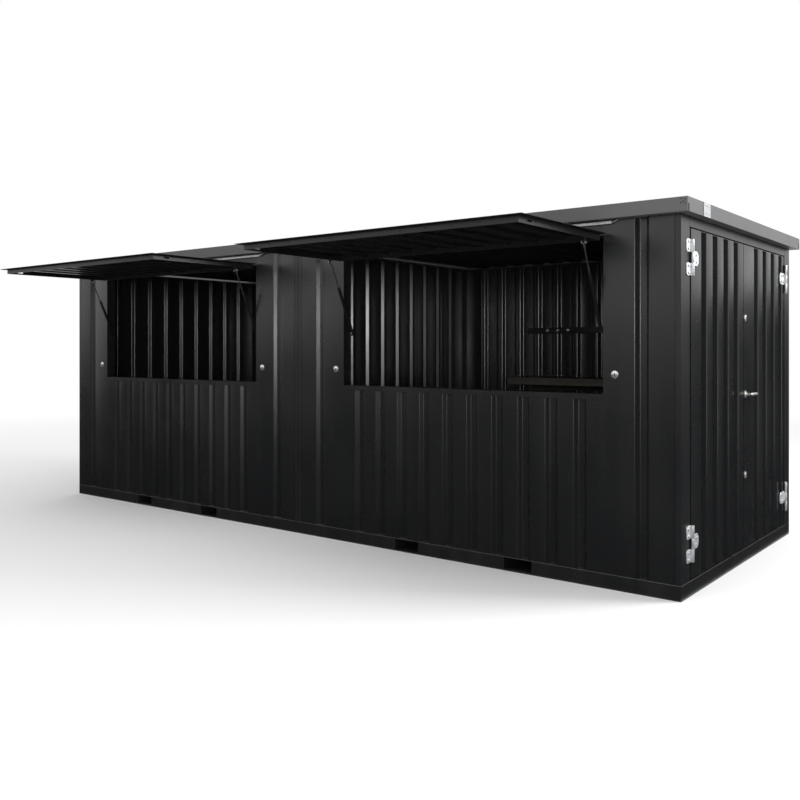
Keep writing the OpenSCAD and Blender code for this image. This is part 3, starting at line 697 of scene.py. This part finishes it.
for module in MODULES:
    for end in "ab":
        low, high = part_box("strut_cylinder_%s_%s" % (module, end))
        axis_x = (low.x + high.x) / 2
        outward = 1 if end == "b" else -1
        stand = Matrix.Translation((axis_x, foot_y, foot_z)) @ Matrix.Rotation(strut_lean, 4, "X")

        bm = bmesh.new()
        add_round(bm, (0, 0, tube_start), (0, 0, 1), tube_radius, tube_length, segments=32,
                  bevel=0.0022)
        add_round(bm, (0, 0, cylinder_length - cap_height), (0, 0, 1), 0.0075, cap_height,
                  segments=24, bevel=0.0008)
        add_round(bm, (0, 0, 0.004), (0, 0, 1), neck_radius, 0.018, segments=20)
        add_round(bm, (outward * foot_eye_shift - foot_eye_width / 2, 0, 0), (1, 0, 0), eye_radius,
                  foot_eye_width, segments=28, bevel=0.0012)
        bmesh.ops.transform(bm, matrix=stand, verts=bm.verts)
        finish_piece(bm, "gas_cylinder_%s_%s" % (module, end), strut_black,
                     "cylinder_%s_%s" % (module, end),
                     ["strut_cylinder_%s_%s" % (module, end)])

        bm = bmesh.new()
        start = cylinder_length - rod_inside
        add_round(bm, (0, 0, start), (0, 0, 1), rod_radius, strut_length - start - 0.006,
                  segments=20)
        add_round(bm, (0, 0, strut_length - 0.030), (0, 0, 1), 0.0060, nut_height, segments=6,
                  bevel=0.0008)
        add_round(bm, (-head_eye_width / 2, 0, strut_length), (1, 0, 0), eye_radius, head_eye_width,
                  segments=28, bevel=0.0012)
        bmesh.ops.transform(bm, matrix=stand, verts=bm.verts)
        finish_piece(bm, "gas_rod_%s_%s" % (module, end), rod_steel,
                     "rod_%s_%s" % (module, end),
                     ["strut_rod_%s_%s" % (module, end)])

        bm = bmesh.new()
        centre = (stand @ Matrix.Translation((0, 0, strut_length))).translation
        add_round(bm, centre + Vector((-outward * 0.0072, 0, 0)), (-outward, 0, 0), ball_radius,
                  stud_height, segments=24, bevel=0.0025)
        add_round(bm, centre + Vector((outward * 0.0108, 0, 0)), (outward, 0, 0), cap_radius,
                  stud_height, segments=24, bevel=0.0022)
        finish_piece(bm, "ball_stud_%s_%s" % (module, end), nickel, "hatch_" + module)
dress(["strut_head_brackets_" + m for m in MODULES] + ["strut_foot_brackets"], frame_coat)

# ---------------------------------------------------------------------------
# Hatch locks. Turned nickel-plated rosettes with a round core and a key slot,
# one beside each lower corner of a hatch, screwed on from inside.
# ---------------------------------------------------------------------------
rosette_height = 0.0040
core_radius, core_height = 0.0140, 0.0035
slot_half_width, slot_relief = 0.0022, 0.0002


def add_rosette(bm, slots, centre, axis, radius):
    add_round(bm, centre, axis, radius, rosette_height, segments=48, bevel=0.0014)
    core = Vector(centre) + Vector(axis) * (rosette_height - 0.0005)
    add_round(bm, core, axis, core_radius, core_height, segments=36, bevel=0.0010)
    face = core + Vector(axis) * (core_height + 0.0001)
    side = Vector((abs(axis[1]), abs(axis[0]), 0))
    outward = Vector((abs(axis[0]), abs(axis[1]), 0))
    reach = side * slot_half_width + outward * slot_relief
    add_block(slots, face - reach - Vector((0, 0, 0.0085)), face + reach + Vector((0, 0, 0.0035)),
              bevel=0.0)
    add_round(slots, face + Vector((0, 0, 0.0040)) - Vector(axis) * slot_relief, axis, 0.0042,
              2 * slot_relief, segments=20)


bm = bmesh.new()
slots = bmesh.new()
lock_low, lock_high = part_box("hatch_locks")
lock_radius = (lock_high.z - lock_low.z) / 2
lock_reach = lock_high.x - lock_radius - module_centre
for side in (-1, 1):
    for end in (-1, 1):
        add_rosette(bm, slots, (side * module_centre + end * lock_reach, front_low.y,
                                (lock_low.z + lock_high.z) / 2), (0, -1, 0), lock_radius)
finish_piece(bm, "hatch_lock_rosettes", nickel, "building", ["hatch_locks"])
# The keyways are near-black plates: painted shade of the key slots.
finish_piece(slots, "hatch_lock_keyways", joint_shadow, "building", smooth=False)

# ---------------------------------------------------------------------------
# Door leaves. Each is one grooved sheet folded back at its edges, with a
# channel frame and a return behind it.
# ---------------------------------------------------------------------------
def add_ring(bm, x, x_end, corner, opposite, width):
    (y, z), (y_end, z_end) = corner, opposite
    for near, far in (((y, z), (y + width, z_end)),
                      ((y_end - width, z), (y_end, z_end)),
                      ((y + width, z), (y_end - width, z + width)),
                      ((y + width, z_end - width), (y_end - width, z_end))):
        add_block(bm, (x, *near), (x_end, *far), bevel=0.0)


leaf_grooves = 4
leaf_steel, leaf_return = 0.003, 0.027
for leaf, shift in (("front", 0.030), ("back", -0.090)):
    low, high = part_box("door_%s_leaf" % leaf)
    width, height = high.y - low.y, high.z - low.z
    centres = [centre + shift for centre in groove_row(width, leaf_grooves)]
    if leaf == "back":
        centres = [width - centre for centre in reversed(centres)]
    bm = bmesh.new()
    add_grooved(bm, width, centres, height, turned(high.x, low.y, low.z, 90))
    add_ring(bm, low.x, high.x - SHEET, (low.y, low.z), (high.y, high.z), leaf_steel)
    add_ring(bm, low.x, low.x + leaf_steel, (low.y + leaf_steel, low.z + leaf_steel),
             (high.y - leaf_steel, high.z - leaf_steel), leaf_return)
    finish_piece(bm, "door_%s_sheet" % leaf, wall_coat, "door_" + leaf,
                 ["door_%s_leaf" % leaf])

# ---------------------------------------------------------------------------
# Door joint shade. Black rubber strips in the rebates beside the leaves, painted
# shade that darkens the gaps, and near-black lines of painted shade along the fine
# joints between the header and the posts.
# ---------------------------------------------------------------------------
leaf_low, leaf_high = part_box("door_front_leaf")
leaf_side = -leaf_low.y
joint_width = 0.022
seal_overlap = 0.006
# Black strips deep in the rebates: painted shade that darkens the gaps beside the leaves.
bm = bmesh.new()
for way in (-1, 1):
    add_block(bm, (leaf_high.x - 0.016, way * (leaf_side + 0.0030), leaf_low.z - seal_overlap),
              (leaf_high.x - 0.006, way * (leaf_side + joint_width - 0.0005),
               leaf_high.z + seal_overlap), bevel=0.0015)
finish_piece(bm, "door_joint_shade_strips", rubber, "building")
# Near-black lines at the header joints: painted shade of the seams.
bm = bmesh.new()
for way in (-1, 1):
    middle = way * (leaf_side + joint_width)
    add_block(bm, (leaf_high.x - 0.0004, middle - 0.0010, leaf_high.z + 0.008),
              (leaf_high.x + 0.0004, middle + 0.0010, wall_top_z), bevel=0.0)
finish_piece(bm, "door_header_joints", joint_shadow, "building", smooth=False)

# ---------------------------------------------------------------------------
# Door hinges. Hot-dip zinc plates, two on the post and a strap on the leaf,
# bolted through, with rolled knuckles around one pin.
# ---------------------------------------------------------------------------
plate_steel = 0.004
knuckle_radius, pin_radius = 0.009, 0.005
roll_near, roll_far = 0.005, 0.008
bolt_across, bolt_height, washer_steel = 0.013, 0.0050, 0.0012


def add_hex(bm, centre, axis, across, height):
    add_round(bm, centre, axis, across * 0.72, washer_steel, segments=20)
    add_round(bm, Vector(centre) + Vector(axis) * washer_steel, axis, across * 0.56, height,
              segments=6, bevel=0.0006)


def add_plate(bm, corner, opposite, way, chamfer):
    part = cube_between(corner, opposite)
    middle_y = (corner[1] + opposite[1]) / 2
    through = [e for e in part.edges
               if abs(e.verts[0].co.x - e.verts[1].co.x) > 0.001
               and e.verts[0].co.y * way > middle_y * way]
    bmesh.ops.bevel(part, geom=through, offset=chamfer, segments=1, profile=0.5,
                    affect="EDGES", material=-1)
    bmesh.ops.bevel(part, geom=part.edges[:], offset=0.0008, segments=1, profile=0.5,
                    affect="EDGES", material=-1)
    gather(bm, part)


def add_hinge_half(bm, face_x, pin, way, length, height, knuckle, chamfer):
    near, low_z = pin.y + way * roll_near, pin.z - knuckle / 2
    add_plate(bm, (face_x, near, pin.z - height / 2),
              (face_x + plate_steel, pin.y + way * length, pin.z + height / 2), way, chamfer)
    add_block(bm, (face_x, near, low_z), (pin.x, pin.y + way * roll_far, pin.z + knuckle / 2),
              bevel=0.0005)
    add_round(bm, (pin.x, pin.y, low_z), (0, 0, 1), knuckle_radius, knuckle, segments=32,
              bevel=0.0010)


pin_side, pin_out = 0.959, 0.014
hinge_height, plate_height, knuckle_gap = 0.207, 0.073, 0.0008
strap_length, strap_height = 0.120, 0.084
plate_length, plate_bolt = 0.065, 0.040
post_plates = bmesh.new()
for leaf, way in (("front", 1), ("back", -1)):
    low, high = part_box("door_%s_hinges" % leaf)
    strap_knuckle = hinge_height - 2 * plate_height - knuckle_gap
    straps = bmesh.new()
    for z in (0.300, 1.915):
        pin = Vector((low.x + pin_out, way * -pin_side, z))
        add_hinge_half(straps, low.x, pin, way, strap_length, strap_height, strap_knuckle, 0.020)
        for across, up in ((0.034, 0.024), (0.034, -0.024), (0.082, 0.020), (0.082, -0.020)):
            add_hex(straps, (low.x + plate_steel, pin.y + way * across, z + up), (1, 0, 0),
                    bolt_across, bolt_height)
        for end in (-1, 1):
            middle = pin + Vector((0, 0, end * (hinge_height - plate_height) / 2))
            add_hinge_half(post_plates, low.x, middle, -way, plate_length, plate_height,
                           plate_height, 0.008)
            for up in (-0.020, 0.020):
                add_hex(post_plates, (low.x + plate_steel, pin.y - way * plate_bolt, middle.z + up),
                        (1, 0, 0), bolt_across, bolt_height)
        add_round(post_plates, (pin.x, pin.y, z - hinge_height / 2), (0, 0, 1), pin_radius,
                  hinge_height, segments=20)
    finish_piece(straps, "door_straps_" + leaf, zinc, "door_" + leaf,
                 ["door_%s_hinges" % leaf])
finish_piece(post_plates, "door_post_plates", zinc, "building",
             ["door_hinge_post_plates"])

# ---------------------------------------------------------------------------
# Door locks and lever. Turned nickel rosettes with keyways, and a round bar
# lever on a rosette that springs back level.
# ---------------------------------------------------------------------------
bm = bmesh.new()
slots = bmesh.new()
lock_low, lock_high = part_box("door_locks")
lock_radius = (lock_high.y - lock_low.y) / 2
lock_y = (lock_low.y + lock_high.y) / 2
for z in (lock_low.z + lock_radius, lock_high.z - lock_radius):
    add_rosette(bm, slots, (lock_low.x, lock_y, z), (1, 0, 0), lock_radius)
finish_piece(bm, "door_lock_rosettes", nickel, "door_back", ["door_locks"])
# The keyways are near-black plates: painted shade of the key slots.
finish_piece(slots, "door_lock_keyways", joint_shadow, "door_back", smooth=False)

low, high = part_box("door_handle")
lever_y, lever_z = 0.036, (low.z + high.z) / 2
lever_rosette, collar_radius, spindle_radius = 0.024, 0.0120, 0.0085
rosette_front, spindle_length = 0.004, 0.040
grip_radius, grip_length = 0.0088, 0.1340
bm = bmesh.new()
add_round(bm, (low.x, lever_y, lever_z), (1, 0, 0), lever_rosette, 0.005, segments=48,
          bevel=0.0016)
add_round(bm, (low.x + rosette_front, lever_y, lever_z), (1, 0, 0), collar_radius, 0.008,
          segments=32, bevel=0.0014)
add_round(bm, (low.x + rosette_front, lever_y, lever_z), (1, 0, 0), spindle_radius,
          spindle_length, segments=32, bevel=0.0020)
add_round(bm, (high.x - 0.0094, lever_y - 0.0095, lever_z), (0, 1, 0), grip_radius, grip_length,
          segments=32, bevel=0.0036)
finish_piece(bm, "door_lever", nickel, "handle", ["door_handle"])

# ---------------------------------------------------------------------------
# Fittings inside. A steel rail with plated knobs screwed to the back wall, and a
# shelf of film-faced plywood below it.
# ---------------------------------------------------------------------------
dress(["hook_rails"], frame_coat)
rail_low, rail_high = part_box("hook_rails")
knob_groups, knob_steps, neck_length = (-0.42, 0.42), (-0.10, 0.0, 0.10), 0.040
bm = bmesh.new()
for side in (-1, 1):
    for group in knob_groups:
        for step in knob_steps:
            x, z = side * module_centre + group + step, (rail_low.z + rail_high.z) / 2
            add_round(bm, (x, rail_low.y, z), (0, -1, 0), 0.0070, neck_length, segments=16)
            add_round(bm, (x, rail_low.y - neck_length + 0.002, z), (0, -1, 0), 0.0150, 0.014,
                      segments=24, bevel=0.0040)
finish_piece(bm, "rail_knobs", nickel, "building")
dress(["back_shelves"], shelf_board)
